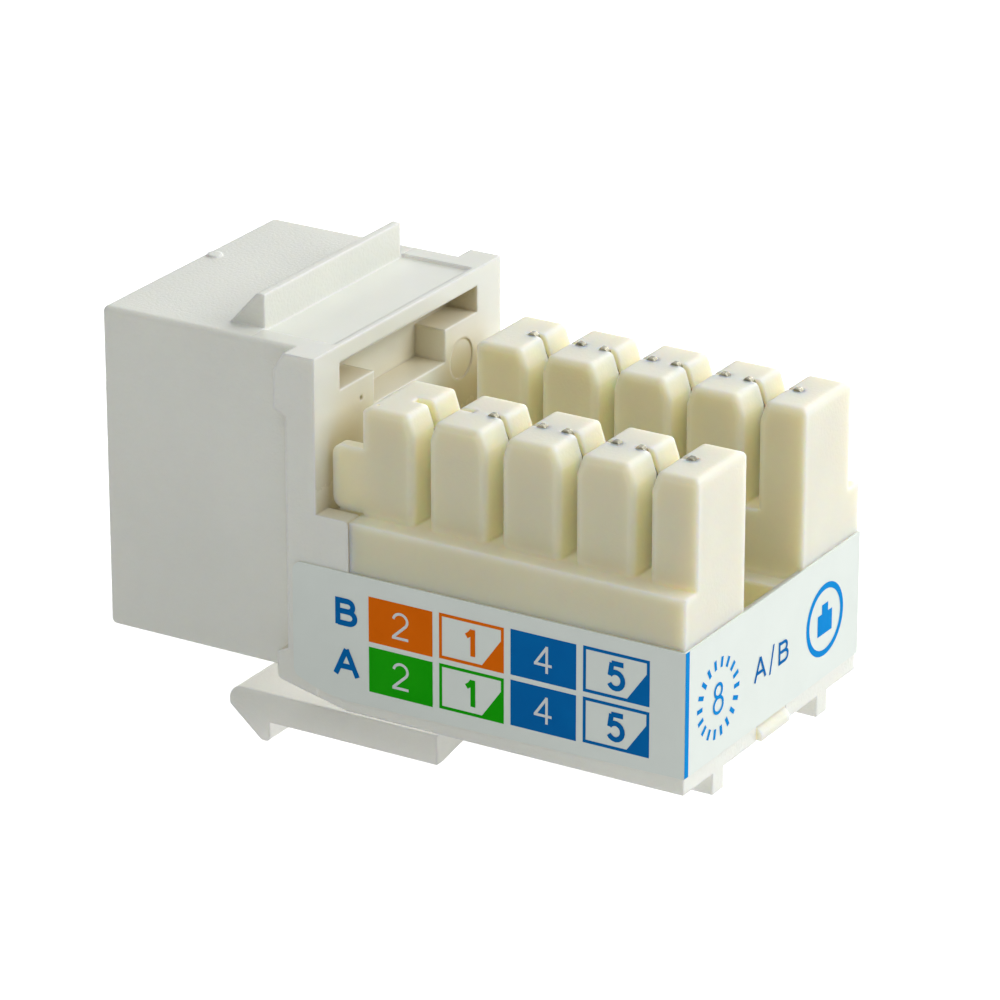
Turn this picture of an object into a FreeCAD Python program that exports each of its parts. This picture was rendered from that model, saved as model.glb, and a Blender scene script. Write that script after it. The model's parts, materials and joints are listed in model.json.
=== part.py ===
"""Keystone jack with a two-row punch-down block, as a parametric FreeCAD document.

Axes: +X runs from the front (port) face to the rear, +Z up to the punch-down rows, Y across.
The origin is the centre of the front face. Lengths are in millimetres.
"""

import FreeCAD, Part
import os
import re

import Sketcher

# Driving sizes. Each one goes into the spreadsheet cell of the same name.
SIZES = {
    # front box and the flange behind it
    "face_width": 14.5,
    "face_height": 16.0,
    "box_round": 0.3,
    "flange_front": 10.65,
    "flange_thick": 1.6,
    "side_lip": 0.9,
    "ear_reach": 0.6,
    "ear_height": 3.05,
    "foot_height": 1.5,
    "ear_bevel": 0.55,
    "ear_slant": 0.88,
    "skirt_front": 0.1,
    "skirt_rear": 0.6,
    "foot_round": 0.3,
    # fixed latch rib on top
    "rib_inset": 1.4,
    "rib_front": 6.25,
    "rib_rear": 8.1,
    "rib_rise": 1.6,
    "rib_flat": 0.4,
    # shallow pocket in the roof behind the rib
    "roof_sink": 0.15,
    "roof_rim": 0.3,
    # recess in the rear wall under the roof
    "roof_thick": 0.85,
    "recess_inset": 1.25,
    "recess_height": 1.3,
    "notch_width": 6.2,
    "notch_height": 1.6,
    "recess_depth": 1.65,
    "mark_place": 4.6,
    "mark_drop": 4.05,
    "mark_radius": 1.0,
    "mark_depth": 0.06,
    "pit_place": 4.2,
    "pit_drop": 3.13,
    "pit_radius": 0.12,
    "pit_depth": 0.15,
    "nub_place": 1.2,
    "nub_radius": 0.35,
    "nub_rise": 0.1,
    # side walls that reach back to the punch-down block
    "wall_reach": 1.75,
    "wall_thick": 1.05,
    "wall_round": 0.25,
    # plug port
    "front_wall": 1.2,
    "floor_thick": 1.2,
    "port_wall": 1.3,
    "port_height": 6.9,
    "key_width": 6.4,
    "key_rise": 1.35,
    "tab_width": 4.2,
    "tab_rise": 1.3,
    "back_wall": 1.2,
    "port_lip": 0.2,
    # flexible latch lever under the box
    "lever_inset": 1.25,
    "lever_front": 5.9,
    "lever_rear": 17.35,
    "lever_drop": 2.2,
    "lever_thick": 1.5,
    "hook_drop": 1.0,
    "hook_back": 8.1,
    "hook_flat": 0.45,
    "hook_round": 0.2,
    "nose_depth": 1.0,
    "nose_round": 0.7,
    "nose_edge": 0.25,
    "strap_width": 3.6,
    "strap_thick": 0.9,
    "strap_bend": 0.25,
    "strap_sink": 0.1,
    "strap_land": 7.4,
    "hinge_place": 2.3,
    "hinge_sink": 0.15,
    "hinge_radius": 0.5,
    "hinge_gap": 0.06,
    "scoop_radius": 25.0,
    "scoop_depth": 0.6,
    "scoop_length": 3.2,
    # punch-down block
    "seam_gap": 0.05,
    "base_height": 6.57,
    "tower_height": 5.3,
    "ledge_width": 1.05,
    "row_depth": 4.3,
    "row_setback": 0.15,
    "front_tower": 2.8,
    "rear_tower": 2.45,
    "tower_length": 3.02,
    "slot_width": 0.8,
    "lead_wide": 0.33,
    "lead_deep": 0.95,
    "tower_round": 0.3,
    "lip_round": 0.28,
    "gate_inset": 0.6,
    "gate_side": 0.6,
    "gate_radius": 0.09,
    "rear_sill": 0.25,
    "sill_drop": 2.55,
    "floor_drop": 3.1,
    "well_width": 3.5,
    "well_depth": 1.95,
    "front_sill": 1.05,
    "ear_forward": 1.5,
    "ear_thick": 0.6,
    "ear_lift": 0.12,
    "ear_tall": 3.15,
    "ear_round": 0.55,
    "ear_root": 0.5,
    "snap_width": 2.7,
    "snap_thick": 0.58,
    "snap_hook": 0.25,
    "snap_rise": 0.6,
    # punch-down contacts
    "blade_thick": 0.3,
    "blade_half": 1.51,
    "tip_rise": 0.1,
    "low_blade": 0.6,
    "blade_seat": 2.15,
    "tine_flat": 0.46,
    "tine_bevel": 0.12,
    "mouth_deep": 2.0,
    "wire_gap": 0.26,
    "fork_deep": 5.0,
    "leg_width": 0.6,
    "leg_shift": 0.8,
    "part_gap": 0.02,
    # circuit board
    "board_thick": 1.2,
    "board_gap": 0.15,
    "board_front": 0.35,
    "board_rear": 0.7,
    "board_rest": 0.65,
    "hole_half": 0.36,
    "leg_past": 0.4,
    # bottom cover
    "cover_drop": 0.95,
    "cover_floor": 1.0,
    "cover_wall": 1.1,
    "cover_slope": 1.6,
    "rest_width": 0.9,
    "relief_gap": 0.5,
    "relief_depth": 0.6,
    "rail_width": 1.0,
    "rail_length": 11.5,
    "rail_drop": 1.05,
    # contact carrier and its eight spring contacts
    "tongue_front": 1.3,
    "tongue_floor": 1.15,
    "comb_thick": 1.9,
    "comb_depth": 1.2,
    "comb_height": 5.7,
    "comb_open": 4.7,
    "contact_gap": 0.57,
    "wire_thick": 0.35,
    "wire_wide": 0.45,
    "groove_gap": 0.05,
    "groove_floor": 0.45,
    "fold_place": 1.9,
    "fold_height": 1.2,
    "fold_lean": 0.21,
    "arm_rise": 2.6,
    "arm_length": 0.5,
    "pin_first": 1.1,
    "pin_stagger": 1.7,
    "pin_relief": 1.95,
    "pin_margin": 0.42,
    "pin_clear": 0.3,
    "shelf_drop": 0.3,
    "shelf_side": 0.15,
    # wiring label
    "label_thick": 0.09,
    "label_front": 0.35,
    "label_top": 6.0,
    "label_low": 0.4,
    "label_corner": 0.35,
    "label_bend": 1.45,
    "label_rear_low": 0.12,
    "label_round": 0.5,
    "label_sweep": 4.0,
}

# Wire slots in each row, and contacts in all.
SLOTS = 4
CONTACTS = 2 * SLOTS

# Places worked out from the sizes.
TOP = "face_height / 2"
BOTTOM = "-face_height / 2"
REAR_FACE = "(flange_front + flange_thick)"
HALF_BODY = "(face_width / 2 + side_lip)"
COVER_BASE = f"({BOTTOM} - cover_drop)"
BOARD_BASE = f"({COVER_BASE} + cover_floor + board_rest)"
SEAM = f"({BOARD_BASE} + board_thick)"
LEDGE = f"({SEAM} + base_height)"
TOWER_TOP = f"({LEDGE} + tower_height)"
WALL_END = f"({REAR_FACE} + wall_reach)"
BLOCK_FRONT = f"({WALL_END} + seam_gap)"
ROW_FRONT = f"({BLOCK_FRONT} + row_setback)"
SLOT_STEP = "(tower_length + slot_width)"
CONTACT_STEP = "(wire_wide + contact_gap)"
FIRST_SLOT = f"({BLOCK_FRONT} + front_tower + slot_width / 2)"
BLOCK_REAR = f"({FIRST_SLOT} + {SLOTS - 1} * {SLOT_STEP} + slot_width / 2 + rear_tower)"
ROW_OUTER = f"({HALF_BODY} - ledge_width)"
ROW_INNER = f"({ROW_OUTER} - row_depth)"
ROW_MIDDLE = f"({ROW_OUTER} - row_depth / 2)"
BLADE_TOP = f"({TOWER_TOP} + tip_rise)"
BLADE_BASE = f"({LEDGE} - blade_seat)"
CAVITY_FLOOR = f"({BOTTOM} + floor_thick)"
GROOVE_FLOOR = f"({CAVITY_FLOOR} + tongue_floor)"
PORT_FLOOR = f"({GROOVE_FLOOR} + groove_floor)"
PORT_CEILING = f"({PORT_FLOOR} + port_height)"
LEVER_TOP = f"({BOTTOM} - lever_drop)"
LEVER_BASE = f"({LEVER_TOP} - lever_thick)"
HINGE_HEIGHT = f"({BOTTOM} + hinge_sink)"
LEG_END = f"({BOARD_BASE} - leg_past)"
COMB_FRONT = f"({REAR_FACE} - seam_gap - comb_thick)"
COMB_TOP = f"({PORT_FLOOR} + comb_height)"
HALF_PORT = "(face_width / 2 - port_wall)"
HALF_CAVITY = f"({HALF_PORT} + port_lip)"
HALF_TONGUE = f"({HALF_CAVITY} - seam_gap)"
HALF_BOARD = f"({HALF_BODY} - cover_wall - board_gap)"
HALF_LEVER = "(face_width / 2 - lever_inset)"
HALF_RECESS = "(face_width / 2 - recess_inset)"

# The first contact of the near row sits lower than the others.
LOW_CONTACT = SLOTS

document = FreeCAD.newDocument("keystone_jack")


def fill_sheet():
    """Puts every driving size into its own named cell."""
    sheet = document.addObject("Spreadsheet::Sheet", "Sizes")
    for row, (name, value) in enumerate(SIZES.items(), start=1):
        sheet.set(f"A{row}", name)
        sheet.set(f"B{row}", str(value))
        sheet.setAlias(f"B{row}", name)
    document.recompute()
    return sheet


sheet = fill_sheet()


def bound(text):
    """Turns a formula over size names into one over the spreadsheet's cells."""
    return re.sub(r"[a-z_]+", lambda m: f"Sizes.{m[0]}" if m[0] in SIZES else m[0], str(text))


def number(text):
    """The present value of a formula over size names."""
    return float(sheet.evalExpression(bound(text)))


def new_body(label):
    return document.addObject("PartDesign::Body", label)


def new_sketch(body, name, plane, height):
    """An empty sketch parallel to one of the body's own origin planes, at a height along its axis."""
    sketch = body.newObject("Sketcher::SketchObject", f"{body.Name}_{name}_sketch")
    origin_plane = [f for f in body.Origin.OriginFeatures if f.Role == f"{plane}_Plane"]
    sketch.AttachmentSupport = [(origin_plane[0], "")]
    sketch.MapMode = "FlatFace"
    sign = "-1" if plane == "XZ" else "1"
    sketch.setExpression("AttachmentOffset.Base.z", f"{sign} * ({bound(height)})")
    return sketch


def hold(sketch, kind, *place, size):
    """Adds a constraint whose value follows a formula."""
    index = sketch.addConstraint(Sketcher.Constraint(kind, *place, number(size)))
    sketch.setExpression(f"Constraints[{index}]", bound(size))


def add_loop(sketch, points):
    """Draws a closed outline whose corners follow pairs of formulas."""
    corners = [FreeCAD.Vector(number(u), number(v), 0) for u, v in points]
    first = sketch.GeometryCount
    count = len(corners)
    for i in range(count):
        sketch.addGeometry(Part.LineSegment(corners[i], corners[(i + 1) % count]), False)
    for i in range(count):
        after = first + (i + 1) % count
        sketch.addConstraint(Sketcher.Constraint("Coincident", first + i, 2, after, 1))
    for i, (u, v) in enumerate(points):
        hold(sketch, "DistanceX", -1, 1, first + i, 1, size=u)
        hold(sketch, "DistanceY", -1, 1, first + i, 1, size=v)


def add_circle(sketch, centre, radius):
    middle = FreeCAD.Vector(number(centre[0]), number(centre[1]), 0)
    index = sketch.addGeometry(Part.Circle(middle, FreeCAD.Vector(0, 0, 1), number(radius)), False)
    hold(sketch, "Radius", index, size=radius)
    hold(sketch, "DistanceX", -1, 1, index, 3, size=centre[0])
    hold(sketch, "DistanceY", -1, 1, index, 3, size=centre[1])


def extrude(body, kind, name, sketch, plane, low, high):
    """A pad or a pocket of a sketch between two heights along its plane's axis."""
    feature = body.newObject(f"PartDesign::{kind}", f"{body.Name}_{name}")
    feature.Profile = sketch
    feature.setExpression("Length", bound(f"({high}) - ({low})"))
    feature.Reversed = (kind == "Pocket") != (plane == "XZ")
    before = body.Shape.Volume if kind == "Pocket" else 0.0
    document.recompute()
    if kind == "Pocket" and feature.Shape.Volume > before - 1e-6:
        raise RuntimeError(f"{feature.Name} cuts nothing")
    return feature


def pad(body, name, plane, low, high, *loops):
    """Adds the outlines' prism between two heights."""
    sketch = new_sketch(body, name, plane, low)
    for loop in loops:
        add_loop(sketch, loop)
    return extrude(body, "Pad", name, sketch, plane, low, high)


def cut(body, name, plane, low, high, *loops):
    """Takes away the outlines' prism between two heights."""
    sketch = new_sketch(body, name, plane, low)
    for loop in loops:
        add_loop(sketch, loop)
    return extrude(body, "Pocket", name, sketch, plane, low, high)


def discs(body, kind, name, plane, low, high, centres, radius):
    """Adds or takes away a round prism at each centre."""
    sketch = new_sketch(body, name, plane, low)
    for centre in centres:
        add_circle(sketch, centre, radius)
    return extrude(body, kind, name, sketch, plane, low, high)


def box(low_u, high_u, low_v, high_v):
    """The corners of a rectangle."""
    return [(low_u, low_v), (high_u, low_v), (high_u, high_v), (low_u, high_v)]


def across(half):
    """Lower and upper heights of a prism centred on the middle plane."""
    return f"-({half})", f"{half}"


def repeat(body, feature, axis, step, count):
    """Copies a feature along one of the body's own axes."""
    pattern = body.newObject("PartDesign::LinearPattern", f"{feature.Name}_row")
    pattern.Originals = [feature]
    direction = [f for f in body.Origin.OriginFeatures if f.Role == f"{axis}_Axis"]
    pattern.Direction = (direction[0], [""])
    pattern.Mode = "Spacing"
    pattern.setExpression("Offset", bound(step))
    pattern.Occurrences = count
    body.Tip = pattern
    document.recompute()
    return pattern


def soften(body, name, radius, chosen):
    """Rounds the edges that the test picks."""
    base = body.Tip
    names = [f"Edge{i}" for i, edge in enumerate(base.Shape.Edges, start=1) if chosen(edge)]
    if not names:
        raise RuntimeError(f"{name} finds no edge")
    feature = body.newObject("PartDesign::Fillet", f"{body.Name}_{name}")
    feature.Base = (base, names)
    feature.setExpression("Radius", bound(radius))
    document.recompute()
    return feature


def near(value, formula):
    return abs(value - number(formula)) < 1e-4


def runs_along(edge, axis):
    """True for a straight edge parallel to an axis of the model."""
    ends = [vertex.Point for vertex in edge.Vertexes]
    if len(ends) < 2:
        return False
    span = ends[1] - ends[0]
    return edge.Length > 1e-6 and abs(abs(getattr(span, axis)) - edge.Length) < 1e-6


def make_housing():
    """Front box with port, latch rib, flange with ears, rear wall recess and side walls."""
    body = new_body("housing")
    half_face = "face_width / 2"
    pad(body, "box", "XZ", *across(half_face), box("0", "flange_front", BOTTOM, TOP))
    soften(body, "box_edges", "box_round", lambda e: near(e.CenterOfMass.x, "0")
           or (runs_along(e, "x") and not near(e.Length, "0")))
    ear_front = "(flange_front - ear_reach)"
    flange = [
        (REAR_FACE, TOP),
        (f"{ear_front} + ear_bevel", TOP),
        (ear_front, f"{TOP} - ear_slant"),
        (ear_front, f"{TOP} - ear_height + ear_bevel / 2"),
        ("flange_front", f"{TOP} - ear_height"),
        ("flange_front", f"{BOTTOM} + foot_height"),
        (ear_front, f"{BOTTOM} + foot_height - ear_bevel / 2"),
        (ear_front, f"{BOTTOM} - skirt_front"),
        (REAR_FACE, f"{BOTTOM} - skirt_rear"),
    ]
    pad(body, "flange", "XZ", *across(HALF_BODY), flange)
    soften(body, "foot_corner", "foot_round", lambda e: runs_along(e, "y")
           and near(e.CenterOfMass.x, ear_front) and near(e.CenterOfMass.z, f"{BOTTOM} - skirt_front"))
    rib = [
        ("rib_front", TOP),
        ("rib_rear - rib_flat", f"{TOP} + rib_rise"),
        ("rib_rear", f"{TOP} + rib_rise"),
        ("rib_rear", TOP),
    ]
    pad(body, "rib", "XZ", *across("face_width / 2 - rib_inset"), rib)
    cut(body, "roof_pocket", "XY", f"{TOP} - roof_sink", TOP,
        box("rib_rear", f"{REAR_FACE} - roof_rim", f"-{HALF_RECESS}", HALF_RECESS))
    discs(body, "Pad", "gate_nub", "XY", f"{TOP} - nub_radius", f"{TOP} + nub_rise",
          [("box_round + nub_radius", "nub_place")], "nub_radius")
    wall_low, wall_high = f"({HALF_BODY} - wall_thick)", HALF_BODY
    pad(body, "side_walls", "YZ", REAR_FACE, WALL_END,
        box(wall_low, wall_high, SEAM, LEDGE),
        box(f"-{wall_high}", f"-{wall_low}", SEAM, LEDGE))
    soften(body, "wall_corners", "wall_round", lambda e: runs_along(e, "y")
           and near(e.CenterOfMass.x, WALL_END) and near(e.CenterOfMass.z, LEDGE))
    recess_top = f"{TOP} - roof_thick"
    shelf = f"{recess_top} - recess_height"
    wide, narrow = HALF_RECESS, "notch_width / 2"
    recess = [
        (f"-{wide}", recess_top), (f"-{wide}", shelf),
        (f"-{narrow}", shelf), (f"-{narrow}", f"{shelf} - notch_height"),
        (narrow, f"{shelf} - notch_height"), (narrow, shelf),
        (wide, shelf), (wide, recess_top),
    ]
    cut(body, "recess", "YZ", f"{REAR_FACE} - recess_depth", REAR_FACE, recess)
    cut(body, "cavity", "YZ", "front_wall", COMB_FRONT,
        box(f"-{HALF_CAVITY}", HALF_CAVITY, CAVITY_FLOOR, PORT_CEILING))
    cut(body, "rear_window", "YZ", COMB_FRONT, REAR_FACE,
        box(f"-{HALF_CAVITY}", HALF_CAVITY, CAVITY_FLOOR, f"{COMB_TOP} + seam_gap"))
    cut(body, "port", "YZ", "0", "front_wall",
        box(f"-{HALF_PORT}", HALF_PORT, PORT_FLOOR, PORT_CEILING))
    key_top = f"({PORT_CEILING} + key_rise)"
    key = [
        ("-key_width / 2", f"{PORT_CEILING} - key_rise"), ("-key_width / 2", key_top),
        ("-tab_width / 2", key_top), ("-tab_width / 2", f"{key_top} + tab_rise"),
        ("tab_width / 2", f"{key_top} + tab_rise"), ("tab_width / 2", key_top),
        ("key_width / 2", key_top), ("key_width / 2", f"{PORT_CEILING} - key_rise"),
    ]
    cut(body, "keyway", "YZ", "0", f"{REAR_FACE} - recess_depth - back_wall", key)
    discs(body, "Pocket", "hinge_seat", "XZ", *across("strap_width / 2 + hinge_gap"),
          [("hinge_place", HINGE_HEIGHT)], "hinge_radius + hinge_gap")
    discs(body, "Pocket", "ejector_mark", "YZ", f"{REAR_FACE} - mark_depth", REAR_FACE,
          [("mark_place", f"{TOP} - mark_drop")], "mark_radius")
    discs(body, "Pocket", "gate_pit", "YZ", f"{REAR_FACE} - pit_depth", REAR_FACE,
          [("-pit_place", f"{TOP} - pit_drop")], "pit_radius")
    return body


def make_latch_lever():
    """Springy arm under the box: strap, wide plate with hook, and finger end."""
    body = new_body("latch_lever")
    nose = f"{LEVER_TOP} - nose_depth"
    plate = [
        ("lever_front", nose),
        ("hook_back - hook_flat", f"{LEVER_BASE} - hook_drop"),
        ("hook_back", f"{LEVER_BASE} - hook_drop"),
        ("hook_back", LEVER_BASE),
        ("lever_rear", LEVER_BASE),
        ("lever_rear", LEVER_TOP),
        ("lever_front", LEVER_TOP),
    ]
    pad(body, "plate", "XZ", *across(HALF_LEVER), plate)
    scoop_centre = f"{LEVER_BASE} + scoop_depth - scoop_radius"
    discs(body, "Pocket", "scoop", "YZ", "lever_rear - scoop_length", "lever_rear",
          [("0", scoop_centre)], "scoop_radius")
    soften(body, "nose", "nose_round", lambda e: runs_along(e, "y")
           and near(e.CenterOfMass.x, "lever_front") and near(e.CenterOfMass.z, LEVER_TOP))
    soften(body, "nose_tip", "nose_edge", lambda e: runs_along(e, "y")
           and near(e.CenterOfMass.x, "lever_front") and near(e.CenterOfMass.z, nose))
    soften(body, "hook_edges", "hook_round", lambda e: runs_along(e, "y")
           and near(e.CenterOfMass.z, f"{LEVER_BASE} - hook_drop"))
    strap = [
        ("hinge_place - hinge_radius", HINGE_HEIGHT),
        ("hinge_place + hinge_radius", HINGE_HEIGHT),
        ("hinge_place + hinge_radius", f"{BOTTOM} - strap_bend"),
        ("strap_land", f"{LEVER_TOP} + strap_bend"),
        ("strap_land + strap_thick", LEVER_TOP),
        ("strap_land", f"{LEVER_TOP} - strap_sink"),
        ("lever_front", f"{LEVER_TOP} - strap_sink"),
        ("hinge_place - hinge_radius", f"{BOTTOM} - strap_thick + strap_bend"),
    ]
    pad(body, "strap", "XZ", *across("strap_width / 2"), strap)
    discs(body, "Pad", "hinge_bead", "XZ", *across("strap_width / 2"),
          [("hinge_place", HINGE_HEIGHT)], "hinge_radius")
    return body


def both_rows(low_x, high_x, low_y, high_y):
    """The same rectangle on the near side and on the far side."""
    return box(low_x, high_x, low_y, high_y), box(low_x, high_x, f"-{high_y}", f"-{low_y}")


def rounded_on_tower(edge):
    """True for the edges of a tower that are soft: all but the upright ones at the block's two ends."""
    middle = edge.CenterOfMass
    if middle.z < number(LEDGE) + 0.01:
        return False
    if runs_along(edge, "y"):
        return near(middle.z, TOWER_TOP)
    at_end = near(middle.x, ROW_FRONT) or near(middle.x, BLOCK_REAR)
    return not at_end and (near(abs(middle.y), ROW_OUTER) or near(abs(middle.y), ROW_INNER))


def make_idc_block():
    """Punch-down block: base, two rows of towers with wire slots, channel, ears and snap."""
    body = new_body("idc_block")
    pad(body, "base", "YZ", BLOCK_FRONT, BLOCK_REAR,
        box(f"-{HALF_BODY}", HALF_BODY, SEAM, LEDGE))
    pad(body, "rows", "XY", LEDGE, TOWER_TOP, *both_rows(ROW_FRONT, BLOCK_REAR, ROW_INNER, ROW_OUTER))
    half_slot = "slot_width / 2"
    wide = f"({half_slot} + lead_wide)"
    slot_outline = [
        (f"{FIRST_SLOT} - {half_slot}", LEDGE),
        (f"{FIRST_SLOT} + {half_slot}", LEDGE),
        (f"{FIRST_SLOT} + {half_slot}", f"{TOWER_TOP} - lead_deep"),
        (f"{FIRST_SLOT} + {wide}", TOWER_TOP),
        (f"{FIRST_SLOT} - {wide}", TOWER_TOP),
        (f"{FIRST_SLOT} - {half_slot}", f"{TOWER_TOP} - lead_deep"),
    ]
    slot = cut(body, "slot", "XZ", *across(ROW_OUTER), slot_outline)
    repeat(body, slot, "X", SLOT_STEP, SLOTS)
    soften(body, "tower_edges", "tower_round", rounded_on_tower)
    discs(body, "Pocket", "gate_pit", "XY", f"{TOWER_TOP} - gate_radius", TOWER_TOP,
          [(f"{BLOCK_FRONT} + gate_inset", f"-({ROW_OUTER} - gate_side)")], "gate_radius")
    channel_start = f"{BLOCK_FRONT} + front_sill"
    sill = f"{BLOCK_REAR} - rear_sill"
    cut(body, "channel_mouth", "YZ", channel_start, BLOCK_REAR,
        box(f"-{ROW_INNER}", ROW_INNER, f"{LEDGE} - sill_drop", LEDGE))
    cut(body, "channel", "YZ", channel_start, sill,
        box(f"-{ROW_INNER}", ROW_INNER, f"{LEDGE} - floor_drop", LEDGE))
    cut(body, "well", "YZ", f"{channel_start} + front_sill", sill,
        box("-well_width / 2", "well_width / 2", f"{LEDGE} - floor_drop - well_depth", LEDGE))
    seat_low = f"({ROW_MIDDLE} - blade_thick / 2 - part_gap)"
    seat_high = f"({ROW_MIDDLE} + blade_thick / 2 + part_gap)"
    blade = "(blade_half + part_gap)"
    seats = cut(body, "blade_seat", "XY", BLADE_BASE, TOWER_TOP,
                *both_rows(f"{FIRST_SLOT} - {blade}", f"{FIRST_SLOT} + {blade}", seat_low, seat_high))
    repeat(body, seats, "X", SLOT_STEP, SLOTS)
    soften(body, "worn_lip", "lip_round", lambda e: near(e.CenterOfMass.y, f"-{seat_high}")
           and e.CenterOfMass.x < number(FIRST_SLOT)
           and e.CenterOfMass.x > number(f"{FIRST_SLOT} - {blade} + part_gap")
           and e.CenterOfMass.z > number(LEDGE))
    leg = "(leg_shift + leg_width / 2 + part_gap)"
    legs = cut(body, "leg_passage", "XY", SEAM, BLADE_BASE,
               *both_rows(f"{FIRST_SLOT} - {leg}", f"{FIRST_SLOT} + {leg}", seat_low, seat_high))
    repeat(body, legs, "X", SLOT_STEP, SLOTS)
    pin_roof = f"({PORT_FLOOR} + pin_clear)"
    pin_half = f"({SLOTS} * {CONTACT_STEP} + pin_margin)"
    cut(body, "pin_relief", "YZ", BLOCK_FRONT, f"{BLOCK_FRONT} + pin_relief",
        box(f"-{pin_half}", pin_half, SEAM, pin_roof))
    between = f"({HALF_CAVITY} + shelf_side)"
    pad(body, "shelf", "YZ", f"{REAR_FACE} + seam_gap", BLOCK_FRONT,
        box(f"-{between}", between, pin_roof, f"{LEDGE} - shelf_drop"))
    ear_low, ear_high = f"{LEDGE} + ear_lift", f"{LEDGE} + ear_lift + ear_tall"
    pad(body, "ears", "XY", ear_low, ear_high,
        *both_rows(f"{BLOCK_FRONT} - ear_forward", f"{BLOCK_FRONT} + ear_root",
                   f"({ROW_OUTER} - ear_thick)", ROW_OUTER))
    soften(body, "ear_corners", "ear_round", lambda e: runs_along(e, "y")
           and near(e.CenterOfMass.x, f"{BLOCK_FRONT} - ear_forward"))
    snap_low = f"({COVER_BASE} + seam_gap)"
    snap = [
        (f"{BLOCK_REAR} - snap_thick", SEAM), (f"{BLOCK_REAR} - snap_thick", snap_low),
        (f"{BLOCK_REAR} + snap_hook", snap_low),
        (f"{BLOCK_REAR} + snap_hook", f"{snap_low} + snap_rise - snap_hook"),
        (BLOCK_REAR, f"{snap_low} + snap_rise"), (BLOCK_REAR, SEAM),
    ]
    pad(body, "snap", "XZ", *across("snap_width / 2"), snap)
    return body


def make_bottom_cover():
    """Tray under the block: floor, walls, board rests, lever relief and two rails."""
    body = new_body("bottom_cover")
    outline = [
        (REAR_FACE, SEAM), (REAR_FACE, f"{BOTTOM} - skirt_rear"),
        (f"{REAR_FACE} + cover_slope", COVER_BASE),
        (BLOCK_REAR, COVER_BASE), (BLOCK_REAR, SEAM),
    ]
    pad(body, "tray", "XZ", *across(HALF_BODY), outline)
    inner = f"({HALF_BODY} - cover_wall)"
    cut(body, "hollow", "YZ", REAR_FACE, f"{BLOCK_REAR} - cover_wall / 2",
        box(f"-{inner}", inner, f"{COVER_BASE} + cover_floor", SEAM))
    rest_low, rest_high = f"({inner} - rest_width)", inner
    pad(body, "rests", "YZ", f"{REAR_FACE} + cover_wall", f"{BLOCK_REAR} - cover_wall",
        box(rest_low, rest_high, f"{COVER_BASE} + cover_floor", BOARD_BASE),
        box(f"-{rest_high}", f"-{rest_low}", f"{COVER_BASE} + cover_floor", BOARD_BASE))
    relief_half = f"({HALF_LEVER} + relief_gap)"
    cut(body, "lever_relief", "YZ", REAR_FACE, "lever_rear + relief_gap",
        box(f"-{relief_half}", relief_half, COVER_BASE, f"{COVER_BASE} + relief_depth"))
    rail_low, rail_high = f"({ROW_MIDDLE} - rail_width / 2)", f"({ROW_MIDDLE} + rail_width / 2)"
    pad(body, "rails", "YZ", f"{BLOCK_REAR} - rail_length", BLOCK_REAR,
        box(rail_low, rail_high, f"{COVER_BASE} - rail_drop", COVER_BASE),
        box(f"-{rail_high}", f"-{rail_low}", f"{COVER_BASE} - rail_drop", COVER_BASE))
    cut(body, "snap_notch", "YZ", f"{BLOCK_REAR} - cover_wall", BLOCK_REAR,
        box("-snap_width / 2 - seam_gap", "snap_width / 2 + seam_gap", COVER_BASE, SEAM))
    return body


def contact_place(index):
    """How far from the middle plane a spring contact stands."""
    return f"(({index} - {(CONTACTS - 1) / 2}) * {CONTACT_STEP})"


def slot_place(index):
    """Where along the rows the wire slot of a punch-down contact stands."""
    return f"({FIRST_SLOT} + {index % SLOTS} * {SLOT_STEP})"


def make_contact_carrier():
    """Insert that holds the eight spring contacts: grooved tongue and comb."""
    body = new_body("contact_carrier")
    rear = f"({REAR_FACE} - seam_gap)"
    pad(body, "tongue", "YZ", "tongue_front", rear,
        box(f"-{HALF_TONGUE}", HALF_TONGUE, CAVITY_FLOOR, PORT_FLOOR))
    pad(body, "comb", "YZ", COMB_FRONT, rear, box(f"-{HALF_TONGUE}", HALF_TONGUE, PORT_FLOOR, COMB_TOP))
    groove = "(wire_wide / 2 + groove_gap)"
    first = contact_place(0)
    grooves = cut(body, "groove", "YZ", "tongue_front", rear,
                  box(f"{first} - {groove}", f"{first} + {groove}", GROOVE_FLOOR, PORT_FLOOR))
    repeat(body, grooves, "Y", CONTACT_STEP, CONTACTS)
    slots = cut(body, "comb_slot", "YZ", COMB_FRONT, f"{COMB_FRONT} + comb_depth",
                box(f"{first} - {groove}", f"{first} + {groove}", PORT_FLOOR, f"{PORT_FLOOR} + comb_open"))
    repeat(body, slots, "Y", CONTACT_STEP, CONTACTS)
    return body


def pin_place(index):
    """Where a spring contact's pin goes into the board: two staggered rows."""
    return f"({REAR_FACE} + pin_first + {index % 2} * pin_stagger)"


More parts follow.
